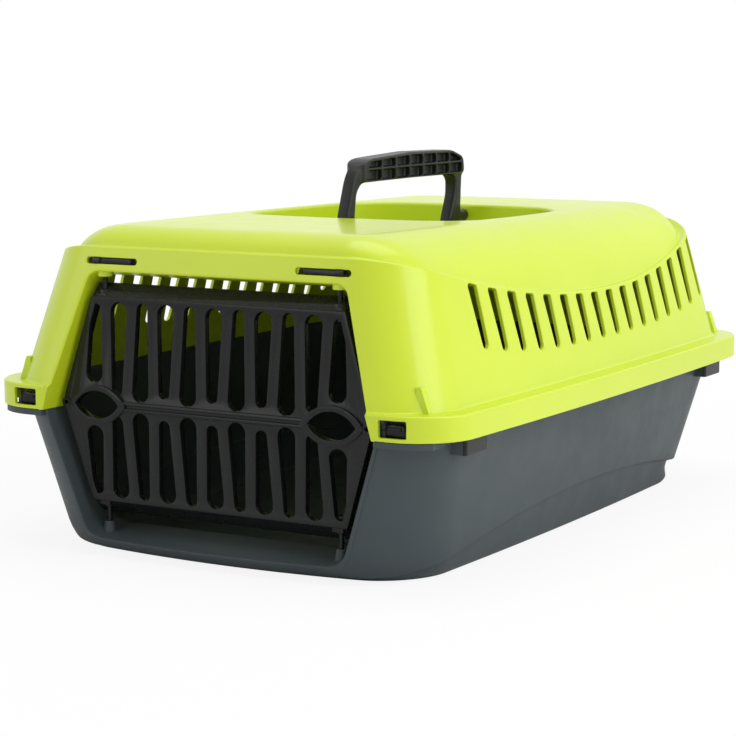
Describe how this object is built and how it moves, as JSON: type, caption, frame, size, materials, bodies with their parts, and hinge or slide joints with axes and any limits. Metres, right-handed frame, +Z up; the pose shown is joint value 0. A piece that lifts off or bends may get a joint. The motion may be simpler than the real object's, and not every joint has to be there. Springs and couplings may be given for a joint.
{
  "type": "pet carrier",
  "caption": "Two-shell plastic pet carrier with a hinged grille door, a folding top handle, side vents and snap clips at the rim's corners.",
  "frame": {"origin": "on the ground, under the middle of the rim", "axes": "+Y from the door to the back, +X to the right seen from in front of the door, +Z up"},
  "size_m": [0.33, 0.46, 0.236],
  "materials": {
    "green": "semi-gloss moulded plastic",
    "anthracite": "fine satin moulded plastic",
    "black": "glossy moulded plastic"
  },
  "bodies": {
    "base": {"base_shell": "anthracite", "door_pin_lower_left": "black", "door_pin_lower_right": "black"},
    "top": {"top_shell": "green", "door_pin_upper_left": "black", "door_pin_upper_right": "black", "handle_pin_front": "anthracite", "handle_pin_rear": "anthracite"},
    "door": {"door_grille": "black"},
    "carry_handle": {"handle": "anthracite"},
    "slide_left": {"latch_slide_left": "black"},
    "slide_right": {"latch_slide_right": "black"},
    "clip_front_left": {"corner_clip_front_left": "black"},
    "clip_front_right": {"corner_clip_front_right": "black"},
    "clip_rear_left": {"corner_clip_rear_left": "black"},
    "clip_rear_right": {"corner_clip_rear_right": "black"}
  },
  "joints": [
    {"name": "top_lift", "type": "slide", "parent": "base", "child": "top", "axis": [0, 0, 1], "range_m": [0, 0.12]},
    {"name": "door_hinge", "type": "hinge", "parent": "base", "child": "door", "pos_m": [-0.082, -0.207, 0.09], "axis": [0, 0, -1], "range_deg": [0, 95]},
    {"name": "handle_fold", "type": "hinge", "parent": "top", "child": "carry_handle", "pos_m": [0, 0.012, 0.189], "axis": [0, 1, 0], "range_deg": [-85, 85]},
    {"name": "latch_slide_left_move", "type": "slide", "parent": "top", "child": "slide_left", "axis": [1, 0, 0], "range_m": [0, 0.0035]},
    {"name": "latch_slide_right_move", "type": "slide", "parent": "top", "child": "slide_right", "axis": [-1, 0, 0], "range_m": [0, 0.0035]},
    {"name": "clip_front_left_press", "type": "hinge", "parent": "base", "child": "clip_front_left", "pos_m": [-0.1275, -0.2232, 0.0908], "axis": [-1, 0, 0], "range_deg": [0, 8], "stiffness_Nm_per_rad": 0.05},
    {"name": "clip_front_right_press", "type": "hinge", "parent": "base", "child": "clip_front_right", "pos_m": [0.1275, -0.2232, 0.0908], "axis": [-1, 0, 0], "range_deg": [0, 8], "stiffness_Nm_per_rad": 0.05},
    {"name": "clip_rear_left_press", "type": "hinge", "parent": "base", "child": "clip_rear_left", "pos_m": [-0.1275, 0.2212, 0.0908], "axis": [1, 0, 0], "range_deg": [0, 8], "stiffness_Nm_per_rad": 0.05},
    {"name": "clip_rear_right_press", "type": "hinge", "parent": "base", "child": "clip_rear_right", "pos_m": [0.1275, 0.2212, 0.0908], "axis": [1, 0, 0], "range_deg": [0, 8], "stiffness_Nm_per_rad": 0.05}
  ]
}
